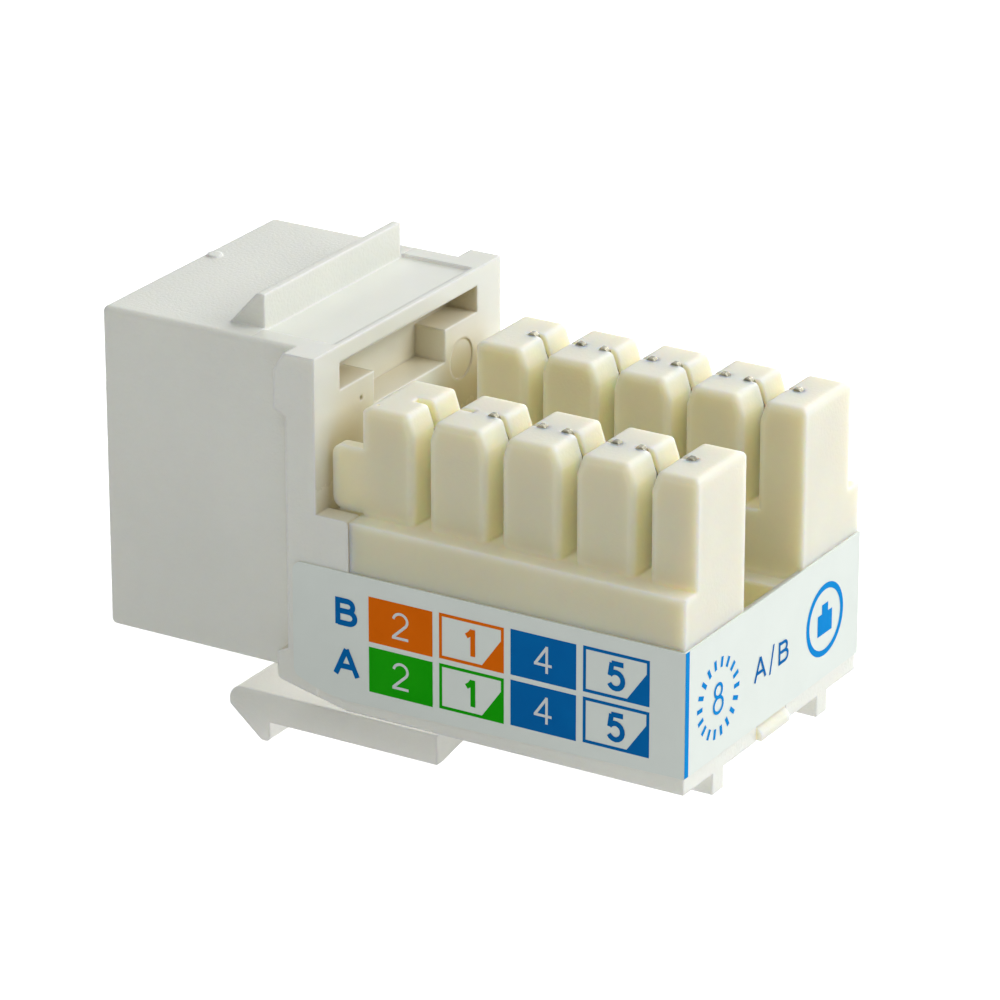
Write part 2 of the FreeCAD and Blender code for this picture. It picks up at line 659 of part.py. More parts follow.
def make_spring_contact(index):
    """One bent contact: pin, run along the tongue, fold and rising arm."""
    body = new_body(f"spring_contact_{index + 1}")
    middle = contact_place(index)
    pin = pin_place(index)
    arm_end = f"({COMB_FRONT} + arm_length)"
    fold_top = f"({GROOVE_FLOOR} + fold_height)"
    outline = [
        (f"{pin} + wire_thick / 2", LEG_END),
        (f"{pin} + wire_thick / 2", f"{GROOVE_FLOOR} + wire_thick"),
        ("fold_place + wire_thick", f"{GROOVE_FLOOR} + wire_thick"),
        ("fold_place + wire_thick", f"{fold_top} - fold_lean"),
        (arm_end, f"{fold_top} + arm_rise - wire_thick"),
        (arm_end, f"{fold_top} + arm_rise"),
        ("fold_place", fold_top),
        ("fold_place", GROOVE_FLOOR),
        (f"{pin} - wire_thick / 2", GROOVE_FLOOR),
        (f"{pin} - wire_thick / 2", LEG_END),
    ]
    pad(body, "wire", "XZ", f"{middle} - wire_wide / 2", f"{middle} + wire_wide / 2", outline)
    soften(body, "fold", "wire_thick", lambda e: runs_along(e, "y")
           and near(e.CenterOfMass.x, "fold_place"))
    return body


def make_idc_contact(index):
    """One forked blade that straddles a wire slot, with a leg into the board."""
    body = new_body(f"idc_contact_{index + 1}")
    side = 1 if index < SLOTS else -1
    turn = 1 if index % 2 else -1
    slot = slot_place(index)
    top = f"({BLADE_TOP} - low_blade)" if index == LOW_CONTACT else BLADE_TOP
    fork_base = f"{top} - fork_deep"
    tip_side = f"{top} - tine_bevel"
    mouth = f"{top} - mouth_deep"
    outline = [
        ("-blade_half", BLADE_BASE), ("-blade_half", tip_side),
        ("-blade_half + tine_bevel", top), ("-blade_half + tine_flat - tine_bevel", top),
        ("-blade_half + tine_flat", tip_side), ("-wire_gap / 2", mouth),
        ("-wire_gap / 2", fork_base), ("wire_gap / 2", fork_base),
        ("wire_gap / 2", mouth), ("blade_half - tine_flat", tip_side),
        ("blade_half - tine_flat + tine_bevel", top), ("blade_half - tine_bevel", top),
        ("blade_half", tip_side), ("blade_half", BLADE_BASE),
        (f"{turn} * leg_shift + leg_width / 2", BLADE_BASE), (f"{turn} * leg_shift + leg_width / 2", LEG_END),
        (f"{turn} * leg_shift - leg_width / 2", LEG_END), (f"{turn} * leg_shift - leg_width / 2", BLADE_BASE),
    ]
    placed = [(f"{slot} + {u}", v) for u, v in outline]
    row = f"{side} * {ROW_MIDDLE}"
    pad(body, "blade", "XZ", f"{row} - blade_thick / 2", f"{row} + blade_thick / 2", placed)
    return body


def make_circuit_board():
    """Board under the block with a plated hole for every contact."""
    body = new_body("circuit_board")
    pad(body, "board", "XY", BOARD_BASE, SEAM,
        box(f"{REAR_FACE} + board_front", f"{BLOCK_REAR} - board_rear", f"-{HALF_BOARD}", HALF_BOARD))
    pins = [(pin_place(i), contact_place(i)) for i in range(CONTACTS)]
    legs = []
    for i in range(CONTACTS):
        side = 1 if i < SLOTS else -1
        turn = 1 if i % 2 else -1
        legs.append((f"{slot_place(i)} + {turn} * leg_shift", f"{side} * {ROW_MIDDLE}"))
    cut(body, "holes", "XY", BOARD_BASE, SEAM,
        *[box(f"{x} - hole_half", f"{x} + hole_half", f"{y} - hole_half", f"{y} + hole_half")
          for x, y in pins + legs])
    return body


def make_wiring_label():
    """Thin label folded round both sides and the rear."""
    body = new_body("wiring_label")
    top = f"{BOTTOM} + label_top"
    front = "(flange_front + label_front)"
    side = [
        (front, top), (front, f"{BOTTOM} + label_corner"),
        (f"{front} + label_bend", f"{BOTTOM} - label_low / 2"),
        (f"{WALL_END}", f"{BOTTOM} - label_low"),
        (f"{BLOCK_REAR} + label_thick", f"{BOTTOM} - label_rear_low"),
        (f"{BLOCK_REAR} + label_thick", top),
    ]
    outer = f"({HALF_BODY} + label_thick)"
    pad(body, "sides", "XZ", f"-{outer}", outer, side)
    cut(body, "inside", "YZ", front, BLOCK_REAR, box(f"-{HALF_BODY}", HALF_BODY, f"{BOTTOM} - label_low", top))
    soften(body, "front_corners", "label_round", lambda e: runs_along(e, "y")
           and near(e.CenterOfMass.x, front))
    soften(body, "lower_bends", "label_sweep", lambda e: runs_along(e, "y")
           and (near(e.CenterOfMass.x, f"{front} + label_bend") or near(e.CenterOfMass.x, WALL_END)))
    return body


def check_and_write(bodies):
    """Stops on any failed object, then writes one STEP file for each sub-part."""
    document.recompute()
    for item in document.Objects:
        if "Invalid" in item.State or "Error" in item.State:
            raise RuntimeError(f"{item.Name} failed: {item.State}")
    os.makedirs("parts", exist_ok=True)
    for body in bodies:
        if body.Shape.isNull() or not body.Shape.isValid() or len(body.Shape.Solids) != 1:
            raise RuntimeError(f"{body.Label} isn't one valid solid")
        body.Shape.exportStep(f"parts/{body.Label}.step")
        print(body.Label, round(body.Shape.Volume, 3))


bodies = [
    make_housing(),
    make_latch_lever(),
    make_idc_block(),
    make_bottom_cover(),
    make_contact_carrier(),
    make_circuit_board(),
    make_wiring_label(),
]
bodies += [make_spring_contact(i) for i in range(CONTACTS)]
bodies += [make_idc_contact(i) for i in range(CONTACTS)]
check_and_write(bodies)
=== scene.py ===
"""Materials, label print, light and camera for the keystone jack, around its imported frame.

Everything is in metres in the frame's own axes: +X to the rear, +Z up, the near side at -Y.
"""

import json
import math

import bpy
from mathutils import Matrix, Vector


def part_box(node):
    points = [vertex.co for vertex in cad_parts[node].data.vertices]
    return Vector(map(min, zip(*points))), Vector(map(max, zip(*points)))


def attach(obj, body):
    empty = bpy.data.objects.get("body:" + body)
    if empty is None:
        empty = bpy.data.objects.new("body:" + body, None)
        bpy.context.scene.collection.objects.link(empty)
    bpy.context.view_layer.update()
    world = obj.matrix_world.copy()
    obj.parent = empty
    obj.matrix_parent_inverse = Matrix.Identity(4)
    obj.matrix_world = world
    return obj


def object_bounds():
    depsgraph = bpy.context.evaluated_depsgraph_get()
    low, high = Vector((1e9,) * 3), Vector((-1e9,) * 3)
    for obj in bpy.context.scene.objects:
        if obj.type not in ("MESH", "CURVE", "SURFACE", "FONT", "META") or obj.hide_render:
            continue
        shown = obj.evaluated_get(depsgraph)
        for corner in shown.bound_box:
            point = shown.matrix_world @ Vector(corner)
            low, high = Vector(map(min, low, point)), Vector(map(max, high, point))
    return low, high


MM = 0.001
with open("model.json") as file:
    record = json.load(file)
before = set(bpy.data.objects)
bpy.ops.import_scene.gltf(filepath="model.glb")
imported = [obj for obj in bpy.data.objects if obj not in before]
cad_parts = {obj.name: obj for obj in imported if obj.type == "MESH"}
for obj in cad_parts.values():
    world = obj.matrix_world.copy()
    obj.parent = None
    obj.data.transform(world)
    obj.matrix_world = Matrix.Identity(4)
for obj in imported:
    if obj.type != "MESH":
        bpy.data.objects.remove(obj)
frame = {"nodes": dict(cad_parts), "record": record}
cad_low, cad_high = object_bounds()


# ---------------------------------------------------------------- node helpers

class Graph:
    """A node tree with short calls for adding and joining nodes."""

    def __init__(self, tree):
        self.tree = tree
        tree.nodes.clear()

    def add(self, kind, settings=None, **inputs):
        """Adds a node, sets its properties and fills its inputs with numbers or sockets."""
        node = self.tree.nodes.new(kind)
        for name, value in (settings or {}).items():
            setattr(node, name, value)
        for name, value in inputs.items():
            self.fill(node.inputs[name.replace("_", " ")], value)
        return node

    def fill(self, socket, value):
        if isinstance(value, bpy.types.NodeSocket):
            self.tree.links.new(value, socket)
        else:
            socket.default_value = value

    def place(self):
        return self.add("ShaderNodeTexCoord").outputs["Object"]

    def part(self, vector, axis):
        """The X, Y or Z part of a vector."""
        return self.add("ShaderNodeSeparateXYZ", Vector=vector).outputs[axis]

    def noise(self, per_mm, detail=2.0, vector=None):
        """Smooth noise between 0 and 1, with its scale in waves per millimetre."""
        node = self.add("ShaderNodeTexNoise", Vector=vector or self.place(), Scale=per_mm / MM, Detail=detail)
        return node.outputs["Fac"]

    def remap(self, value, source, target):
        """Carries a value from one range to another, and holds it inside."""
        node = self.add("ShaderNodeMapRange", Value=value, From_Min=source[0], From_Max=source[1],
                        To_Min=target[0], To_Max=target[1])
        return node.outputs["Result"]

    def math(self, operation, first, second=0.0):
        node = self.add("ShaderNodeMath", {"operation": operation})
        self.fill(node.inputs[0], first)
        self.fill(node.inputs[1], second)
        return node.outputs[0]

    def mix(self, amount, first, second):
        node = self.add("ShaderNodeMix", {"data_type": "RGBA"})
        self.fill(node.inputs["Factor"], amount)
        self.fill(node.inputs[6], first)
        self.fill(node.inputs[7], second)
        return node.outputs[2]

    def softened(self, radius):
        """The normal with its edges rounded."""
        return self.add("ShaderNodeBevel", {"samples": 6}, Radius=radius).outputs["Normal"]

    def bump(self, strength, distance, height, normal=None):
        node = self.add("ShaderNodeBump", Strength=strength, Distance=distance, Height=height)
        if normal is not None:
            self.fill(node.inputs["Normal"], normal)
        return node.outputs["Normal"]

    def seen_as_white(self):
        """1 for rays from the camera or from a gloss, which see the background as white."""
        rays = self.add("ShaderNodeLightPath").outputs
        return self.math("MAXIMUM", rays["Is Camera Ray"], rays["Is Glossy Ray"])


class Look(Graph):
    """A new material and its graph."""

    def __init__(self, name):
        self.material = bpy.data.materials.new(name)
        self.material.use_nodes = True
        super().__init__(self.material.node_tree)

    def output(self, surface):
        self.add("ShaderNodeOutputMaterial", Surface=surface)
        return self.material


def rgb(red, green, blue):
    return (red, green, blue, 1.0)


# ---------------------------------------------------------------- materials

# Patterns, in waves per millimetre.
FLOW_MARKS = 0.16
SURFACE_WAVES = 0.5
SPECKS = 2.4
DIE_GRAIN = 6.5
DULL_PATCHES = 1.3
DRAWING_LINES = 14.0
FILM_FIBRES = 5.0
FILM_CLOUD = 0.35
GLASS_WEAVE = 1.2
PAPER_CLOUD = 0.02

HOLLOW_REACH = 4.0 * MM
WAVE_HEIGHT = 0.06 * MM
METAL_EDGE = 0.09 * MM
LINE_HEIGHT = 0.01 * MM
FIBRE_HEIGHT = 0.006 * MM

# Painted pale edge highlights and the painted pale rim of light: how far the softened normal has turned
# where they start and where they are full, as the cosine, and how much of the highlight tone is laid on
# there.
HIGHLIGHT_TURNS = (0.995, 0.85)
HIGHLIGHT_SHARE = 0.9
RIM_TURNS = (0.999, 0.88)
RIM_SHARE = 0.6

# The housing's die is polished to this roughness behind the latch rib and above the middle.
POLISHED = 0.17
POLISH_START = 8.15 * MM
POLISH_START_FADE = 0.05 * MM
POLISH_BASE = 1.0 * MM
POLISH_BASE_FADE = 1.0 * MM
FULL_GRAIN = 0.5
POLISHED_GRAIN = 0.04

# Below this height the lever and the skirt are thin. Their hollows get a pale painted light, and a weak
# painted glow stands for the light that would cross the thin plastic into them.
UNDERSIDE = -8.1 * MM
UNDERSIDE_FADE = 0.6 * MM
PAINTED_UNDER_LIGHT = rgb(0.99, 0.985, 0.95)
PAINTED_UNDER_GLOW = 0.01
PAINTED_HOLLOW_GLOW = 0.17
# No painted hollow shade above this height: nothing stands over the roof.
ROOF = 7.3 * MM
ROOF_FADE = 0.3 * MM


def polished_zone(g):
    """1 on the upper half behind the latch rib, where the die's ends are polished, and 0 elsewhere."""
    start = (POLISH_START - POLISH_START_FADE, POLISH_START + POLISH_START_FADE)
    behind = g.remap(g.part(g.place(), "X"), start, (0.0, 1.0))
    above = g.remap(g.part(g.place(), "Z"), (POLISH_BASE, POLISH_BASE + POLISH_BASE_FADE), (0.0, 1.0))
    return g.math("MULTIPLY", behind, above)


def looks_sideways(g):
    """1 on faces that look to the near or far side and 0 on the others."""
    across = g.part(g.add("ShaderNodeTexCoord").outputs["Normal"], "Y")
    return g.remap(g.math("ABSOLUTE", across), (0.3, 0.8), (0.0, 1.0))


def in_hollow(g):
    """1 deep in a hollow and 0 in the open; it places painted hollow shade and light."""
    openness = g.add("ShaderNodeAmbientOcclusion", {"samples": 8}, Distance=HOLLOW_REACH).outputs["AO"]
    return g.remap(openness, (0.25, 0.8), (1.0, 0.0))


def painted_edge_highlights(g, tone, highlight_tone, normal, turns, share):
    """A tone that goes over to a painted pale highlight where a softened normal turns away from the true one.
    """
    turn = g.add("ShaderNodeVectorMath", {"operation": "DOT_PRODUCT"})
    g.fill(turn.inputs[0], normal)
    g.fill(turn.inputs[1], g.add("ShaderNodeNewGeometry").outputs["Normal"])
    near_edge = g.remap(turn.outputs["Value"], turns, (0.0, 1.0))
    return g.mix(g.math("MULTIPLY", near_edge, share), tone, highlight_tone)


def moulded_plastic(name, tones, roughness, grain_height, scatter, depth, edge,
                    painted_glow_share=0.0, rim=0.0, housing=False):
    """Moulded plastic: fine die grain, faint flow marks, painted pale highlights on edges and some light
    inside.

    Its tones are a painted shaded copy for faces that look sideways, a painted lit copy for the other
    faces, a painted hollow tone and a painted edge highlight. How strongly its hollows glow, a painted
    light for light that has crossed the thin plastic, is set by itself, and so is the width of the painted
    pale rim of light at edges. The housing has a polished zone and its own painted glow below.
    """
    g = Look(name)
    sideways = looks_sideways(g)
    hollow = in_hollow(g)
    # The hollow tone is painted shade on the white housing and the black carrier, and painted light on the
    # cream block.
    painted_hollow_tone = painted_glow_tone = tones["hollow"]
    # A painted glow in the hollows, standing for light that crosses the plastic.
    glow = g.math("MULTIPLY", hollow, painted_glow_share) if painted_glow_share else 0.0
    if housing:
        # On the housing the painted hollow tone stops below the roof, and under the box the hollows get
        # painted light and a painted glow.
        height = g.part(g.place(), "Z")
        hollow = g.math("MULTIPLY", hollow, g.remap(height, (ROOF, ROOF + ROOF_FADE), (1.0, 0.0)))
        under = g.remap(height, (UNDERSIDE, UNDERSIDE + UNDERSIDE_FADE), (1.0, 0.0))
        painted_hollow_tone = g.mix(under, painted_hollow_tone, PAINTED_UNDER_LIGHT)
        painted_glow_tone = PAINTED_UNDER_LIGHT
        glow = g.math("MULTIPLY", under, g.remap(hollow, (0.0, 1.0), (PAINTED_UNDER_GLOW, PAINTED_UNDER_GLOW + PAINTED_HOLLOW_GLOW)))

    soft_edge = g.softened(edge)
    # Painted shade: faces that look sideways get a shaded copy of the tone and the other faces a lit copy.
    open_tone = g.mix(sideways, tones["top"], tones["side"])
    # A painted pale rim of light on the cream block, then painted pale highlights on all edges.
    if rim:
        open_tone = painted_edge_highlights(g, open_tone, tones["edge_highlight"], g.softened(rim), RIM_TURNS, RIM_SHARE)
    open_tone = painted_edge_highlights(g, open_tone, tones["edge_highlight"], soft_edge, HIGHLIGHT_TURNS, HIGHLIGHT_SHARE)
    flow = g.remap(g.noise(FLOW_MARKS, 3.0), (0.35, 0.65), (0.96, 1.0))
    tone = g.add("ShaderNodeHueSaturation", Color=g.mix(hollow, open_tone, painted_hollow_tone), Value=flow)

    gloss = g.math("ADD", g.remap(g.noise(SPECKS, 4.0), (0.3, 0.7), (-0.05, 0.06)), roughness)
    grain = FULL_GRAIN
    if housing:
        shine = g.math("MULTIPLY", polished_zone(g), g.math("SUBTRACT", 1.0, sideways))
        gloss = g.math("SUBTRACT", gloss, g.math("MULTIPLY", shine, roughness - POLISHED))
        grain = g.remap(shine, (0.0, 1.0), (FULL_GRAIN, POLISHED_GRAIN))
    waves = g.bump(0.12, WAVE_HEIGHT, g.noise(SURFACE_WAVES, 1.0), soft_edge)
    surface = g.bump(grain, grain_height, g.noise(DIE_GRAIN, 3.0), waves)
    # The emission is the painted glow.
    shader = g.add("ShaderNodeBsdfPrincipled", {"subsurface_method": "RANDOM_WALK"},
                   Base_Color=tone.outputs["Color"], Roughness=gloss, IOR=1.5, Normal=surface,
                   Subsurface_Weight=scatter, Subsurface_Radius=(1.0, 0.75, 0.42), Subsurface_Scale=depth,
                   Emission_Color=painted_glow_tone, Emission_Strength=glow)
    return g.output(shader.outputs["BSDF"])


def plated_metal(name, colour, dull, roughness):
    """Thin plated spring metal with drawing lines and slightly dull patches."""
    g = Look(name)
    patches = g.remap(g.noise(DULL_PATCHES, 3.0), (0.4, 0.7), (0.0, 1.0))
    stretched = g.add("ShaderNodeMapping", Vector=g.place(), Scale=(1.0, 1.0, 0.08))
    lines = g.noise(DRAWING_LINES, 2.0, stretched.outputs["Vector"])
    surface = g.bump(0.25, LINE_HEIGHT, lines, g.softened(METAL_EDGE))
    gloss = g.math("ADD", g.math("MULTIPLY", patches, 0.14), roughness)
    shader = g.add("ShaderNodeBsdfPrincipled", Base_Color=g.mix(patches, colour, dull), Metallic=1.0,
                   Roughness=gloss, Normal=surface)
    return g.output(shader.outputs["BSDF"])


def printed_film(name, colour, shade, roughness=0.42, sheen=0.5):
    """Label film or ink on it: a smooth coat over faint fibres."""
    g = Look(name)
    fibres = g.noise(FILM_FIBRES, 5.0)
    cloud = g.remap(g.noise(FILM_CLOUD, 3.0), (0.35, 0.65), (0.0, 1.0))
    gloss = g.math("ADD", g.remap(fibres, (0.3, 0.7), (-0.04, 0.05)), roughness)
    shader = g.add("ShaderNodeBsdfPrincipled", Base_Color=g.mix(cloud, colour, shade), Roughness=gloss,
                   IOR=1.45, Specular_IOR_Level=sheen, Normal=g.bump(0.2, FIBRE_HEIGHT, fibres))
    return g.output(shader.outputs["BSDF"])


def ink(name, colour, shade):
    """Matt printing ink."""
    return printed_film(name, colour, shade, roughness=0.62, sheen=0.05)


def board_laminate():
    """Green solder mask with a glass weave under it."""
    g = Look("board_laminate_look")
    weave = g.add("ShaderNodeTexWave", Vector=g.place(), Scale=GLASS_WEAVE / MM, Distortion=1.5)
    amount = g.math("MULTIPLY", weave.outputs["Fac"], 0.35)
    tone = g.mix(amount, rgb(0.02, 0.13, 0.05), rgb(0.05, 0.21, 0.09))
    shader = g.add("ShaderNodeBsdfPrincipled", Base_Color=tone, Roughness=0.35, IOR=1.5)
    return g.output(shader.outputs["BSDF"])


def studio_floor():
    """Pale floor that the camera and glosses see as white, while it keeps the object's shadow."""
    g = Look("floor_look")
    paper = g.mix(g.noise(PAPER_CLOUD, 2.0), rgb(0.90, 0.90, 0.90), rgb(0.93, 0.93, 0.93))
    matt = g.add("ShaderNodeBsdfDiffuse", Color=paper)
    glow = g.add("ShaderNodeEmission", Color=rgb(1.0, 1.0, 1.0), Strength=0.75)
    lit = g.add("ShaderNodeAddShader")
    g.fill(lit.inputs[0], matt.outputs[0])
    g.fill(lit.inputs[1], glow.outputs[0])
    choice = g.add("ShaderNodeMixShader", Fac=g.seen_as_white())
    g.fill(choice.inputs[1], matt.outputs[0])
    g.fill(choice.inputs[2], lit.outputs[0])
    return g.output(choice.outputs[0])


def tone_set(side, top, hollow, edge_highlight):
    return {"side": rgb(*side), "top": rgb(*top), "hollow": rgb(*hollow), "edge_highlight": rgb(*edge_highlight)}


# Each set holds a painted shaded copy for sideways faces, a painted lit copy for the others, a painted hollow
# tone (shade on the white and black plastics, light on the cream) and a painted pale edge highlight.
WHITE_TONES = tone_set(side=(0.80, 0.815, 0.75), top=(0.815, 0.83, 0.765),
                       hollow=(0.72, 0.66, 0.49), edge_highlight=(0.99, 0.99, 0.96))
CREAM_TONES = tone_set(side=(0.755, 0.725, 0.52), top=(0.80, 0.785, 0.66),
                       hollow=(1.0, 0.92, 0.63), edge_highlight=(0.93, 0.91, 0.80))
BLACK_TONES = tone_set(side=(0.038, 0.038, 0.041), top=(0.035, 0.035, 0.038),
                       hollow=(0.03, 0.03, 0.032), edge_highlight=(0.06, 0.06, 0.063))

LOOKS = {
    "white_plastic": moulded_plastic(
        "white_plastic_look", WHITE_TONES, roughness=0.42, grain_height=0.055 * MM, scatter=0.25,
        depth=0.9 * MM, edge=0.2 * MM, housing=True),
    "cream_plastic": moulded_plastic(
        "cream_plastic_look", CREAM_TONES, roughness=0.46, grain_height=0.028 * MM, scatter=1.0,
        depth=1.7 * MM, edge=0.3 * MM, painted_glow_share=0.03, rim=0.75 * MM),
    "carrier_plastic": moulded_plastic(
        "carrier_plastic_look", BLACK_TONES, roughness=0.5, grain_height=0.02 * MM, scatter=0.0,
        depth=0.5 * MM, edge=0.06 * MM),
    "board_laminate": board_laminate(),
    "label_film": printed_film("label_film_look", rgb(0.757, 0.816, 0.767), rgb(0.738, 0.796, 0.748)),
    "gold_wire": plated_metal("gold_wire_look", rgb(0.93, 0.66, 0.27), rgb(0.84, 0.58, 0.24), 0.18),
    "tinned_blade": plated_metal("tinned_blade_look", rgb(0.42, 0.40, 0.31), rgb(0.13, 0.125, 0.09), 0.22),
}

for part in frame["record"]["subparts"]:
    node = frame["nodes"][part["node"]]
    node.data.materials.clear()
    node.data.materials.append(LOOKS[part["material_slot"]])


# ---------------------------------------------------------------- drawing on the label

INKS = {
    "blue": ink("blue_ink", rgb(0.0, 0.135, 0.43), rgb(0.0, 0.15, 0.46)),
    "line": ink("line_ink", rgb(0.0, 0.25, 0.68), rgb(0.0, 0.27, 0.71)),
    "orange": ink("orange_ink", rgb(0.78, 0.145, 0.0), rgb(0.82, 0.16, 0.002)),
    "green": ink("green_ink", rgb(0.003, 0.37, 0.0), rgb(0.012, 0.41, 0.003)),
    "brown": ink("brown_ink", rgb(0.16, 0.06, 0.02), rgb(0.18, 0.07, 0.025)),
    "pale": ink("pale_ink", rgb(0.74, 0.78, 0.78), rgb(0.70, 0.75, 0.76)),
}

# Ink lies this far off the film, letters on a second layer, and each stroke a little above the last.
INK_LIFT = 0.008 * MM
LETTER_LAYER = 2
STROKE_STEP = 0.15


class Panel:
    """One face of the label. It turns places across and up the face into points in space."""

    def __init__(self, name, origin, right):
        self.name = name
        self.origin = Vector(origin)
        self.right = Vector(right)
        self.up = Vector((0.0, 0.0, 1.0))
        self.out = self.right.cross(self.up)
        self.count = 0

    def point(self, u, v, layer):
        return self.origin + self.right * u + self.up * v + self.out * INK_LIFT * layer

    def add_ink(self, ink_name, points, faces):
        """Adds one piece of ink to the face."""
        self.count += 1
        mesh = bpy.data.meshes.new("ink")
        mesh.from_pydata(points, [], faces)
        mesh.materials.append(INKS[ink_name])
        piece = bpy.data.objects.new(f"print_{self.name}_{self.count:02d}", mesh)
        bpy.context.collection.objects.link(piece)
        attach(piece, "jack")

    def shape(self, ink_name, loops):
        """Flat patches of ink, each a convex outline of places on the face."""
        points = []
        faces = []
        for loop in loops:
            faces.append(list(range(len(points), len(points) + len(loop))))
            points += [self.point(u, v, 1) for u, v in loop]
        self.add_ink(ink_name, points, faces)

    def letter(self, ink_name, sign, u, v, height, line):
        """A numeral or letter drawn with strokes of one width, centred on a place on the face."""
        points = []
        faces = []
        for i, stroke in enumerate(GLYPHS[sign]):
            layer = LETTER_LAYER + i * STROKE_STEP
            start = len(points)
            ends = [(u + x * height, v + y * height) for x, y in stroke]
            for left, right in stroke_sides(ends, line / 2):
                points += [self.point(*left, layer), self.point(*right, layer)]
            for j in range(start, len(points) - 2, 2):
                faces.append([j + 1, j + 3, j + 2, j])
        self.add_ink(ink_name, points, faces)


def arc(x, y, wide, tall, first, last, steps=14):
    """Points along part of an ellipse, between two angles in degrees."""
    angles = [math.radians(first + (last - first) * i / steps) for i in range(steps + 1)]
    return [(x + wide * math.cos(a), y + tall * math.sin(a)) for a in angles]


# Strokes of each sign in a square one unit high, centred on its middle.
GLYPHS = {
    "1": [[(-0.2, 0.22), (-0.06, 0.32), (0.04, 0.46)], [(0.06, 0.5), (0.06, -0.5)]],
    "2": [arc(0.0, 0.2, 0.28, 0.26, 172, -38) + [(-0.3, -0.44)], [(-0.34, -0.46), (0.32, -0.46)]],
    "3": [arc(-0.02, 0.22, 0.24, 0.24, 160, -80), arc(-0.02, -0.22, 0.28, 0.25, 84, -160)],
    "4": [[(0.14, 0.5), (0.14, -0.5)], [(0.14, 0.46), (-0.32, -0.2)], [(-0.36, -0.2), (0.34, -0.2)]],
    "5": [[(-0.18, 0.45), (0.28, 0.45)], [(-0.17, 0.46), (-0.24, -0.02)],
          arc(-0.02, -0.16, 0.28, 0.3, 146, -152)],
    "6": [arc(0.0, -0.18, 0.28, 0.28, 0, 360, 24), arc(0.1, -0.12, 0.38, 0.58, 176, 74)],
    "7": [[(-0.3, 0.45), (0.32, 0.45)], [(0.3, 0.44), (0.02, 0.0), (-0.1, -0.5)]],
    "8": [arc(0.0, 0.25, 0.22, 0.21, 0, 360, 24), arc(0.0, -0.22, 0.28, 0.25, 0, 360, 24)],
    "A": [[(-0.44, -0.5), (0.0, 0.47)], [(0.0, 0.47), (0.44, -0.5)], [(-0.28, -0.17), (0.28, -0.17)]],
    "B": [[(-0.33, 0.5), (-0.33, -0.5)],
          [(-0.33, 0.4), *arc(0.08, 0.21, 0.2, 0.19, 90, -90), (-0.33, 0.02)],
          [(-0.33, 0.02), *arc(0.1, -0.2, 0.26, 0.22, 90, -90), (-0.33, -0.42)]],
}


def stroke_sides(points, half_line):
    """The two sides of a stroke at each of its points, mitred where it turns."""
    sides = []
    for i, (x, y) in enumerate(points):
        before = points[max(i - 1, 0)]
        after = points[min(i + 1, len(points) - 1)]
        turns = []
        for (ax, ay), (bx, by) in ((before, (x, y)), ((x, y), after)):
            length = math.hypot(bx - ax, by - ay)
            if length > 0:
                turns.append((-(by - ay) / length, (bx - ax) / length))
        nx = sum(t[0] for t in turns) / len(turns)
        ny = sum(t[1] for t in turns) / len(turns)
        stretch = half_line / max(nx * nx + ny * ny, 0.3)
        sides.append(((x + nx * stretch, y + ny * stretch), (x - nx * stretch, y - ny * stretch)))
    return sides


def rectangle(u, v, wide, tall):
    return [(u, v), (u + wide, v), (u + wide, v + tall), (u, v + tall)]


def box_outline(u, v, wide, tall, line):
    """Four strips that make the outline of a box."""
    return [rectangle(u, v, wide, line),
            rectangle(u, v + tall - line, wide, line),
            rectangle(u, v + line, line, tall - 2 * line),
            rectangle(u + wide - line, v + line, line, tall - 2 * line)]


def ring(u, v, across, line, steps=48):
    """Thin four-cornered patches round a circle."""
    inner = across / 2 - line
    outer = across / 2
    patches = []
    for i in range(steps):
        a, b = (2 * math.pi * (i + k) / steps for k in (0, 1))
        patches.append([(u + inner * math.cos(a), v + inner * math.sin(a)),
                        (u + outer * math.cos(a), v + outer * math.sin(a)),
                        (u + outer * math.cos(b), v + outer * math.sin(b)),
                        (u + inner * math.cos(b), v + inner * math.sin(b))])
    return patches


def tick_ring(u, v, inner, outer, half_line, count):
    """Short strokes that point away from a centre."""
    ticks = []
    for i in range(count):
        angle = 2 * math.pi * i / count
        x, y = math.cos(angle), math.sin(angle)
        side_u, side_v = -y * half_line, x * half_line
        ticks.append([(u + x * inner - side_u, v + y * inner - side_v),
                      (u + x * outer - side_u, v + y * outer - side_v),
                      (u + x * outer + side_u, v + y * outer + side_v),
                      (u + x * inner + side_u, v + y * inner + side_v)])
    return ticks


# ---------------------------------------------------------------- label print

# The wiring key: two rows of four boxes on each side, each box a little higher than the one before.
BOX_WIDE = 3.42 * MM
BOX_TALL = 2.24 * MM
BOX_STEP = 3.77 * MM
BOX_LINE = 0.155 * MM
ROW_RISE = 0.012
ROW_B = -5.13 * MM
ROW_A = -7.62 * MM
# An open box has one corner filled.
CORNER_WIDE = 1.15 * MM
CORNER_TALL = 1.55 * MM
DIGIT = 1.32 * MM
THIN = 0.135 * MM
BOLD = 0.25 * MM
ROW_LETTER = 1.34 * MM
ROW_LETTER_LINE = 0.27 * MM
ROW_LETTER_RISE = 0.53

# Where the first box and the rows' letter stand across each face. The far side reads from the rear
# to the front, so its places are negative.
NEAR_BOXES = 15.12 * MM
NEAR_LETTER = 13.9 * MM
FAR_BOXES = -30.0 * MM
FAR_LETTER = -12.6 * MM


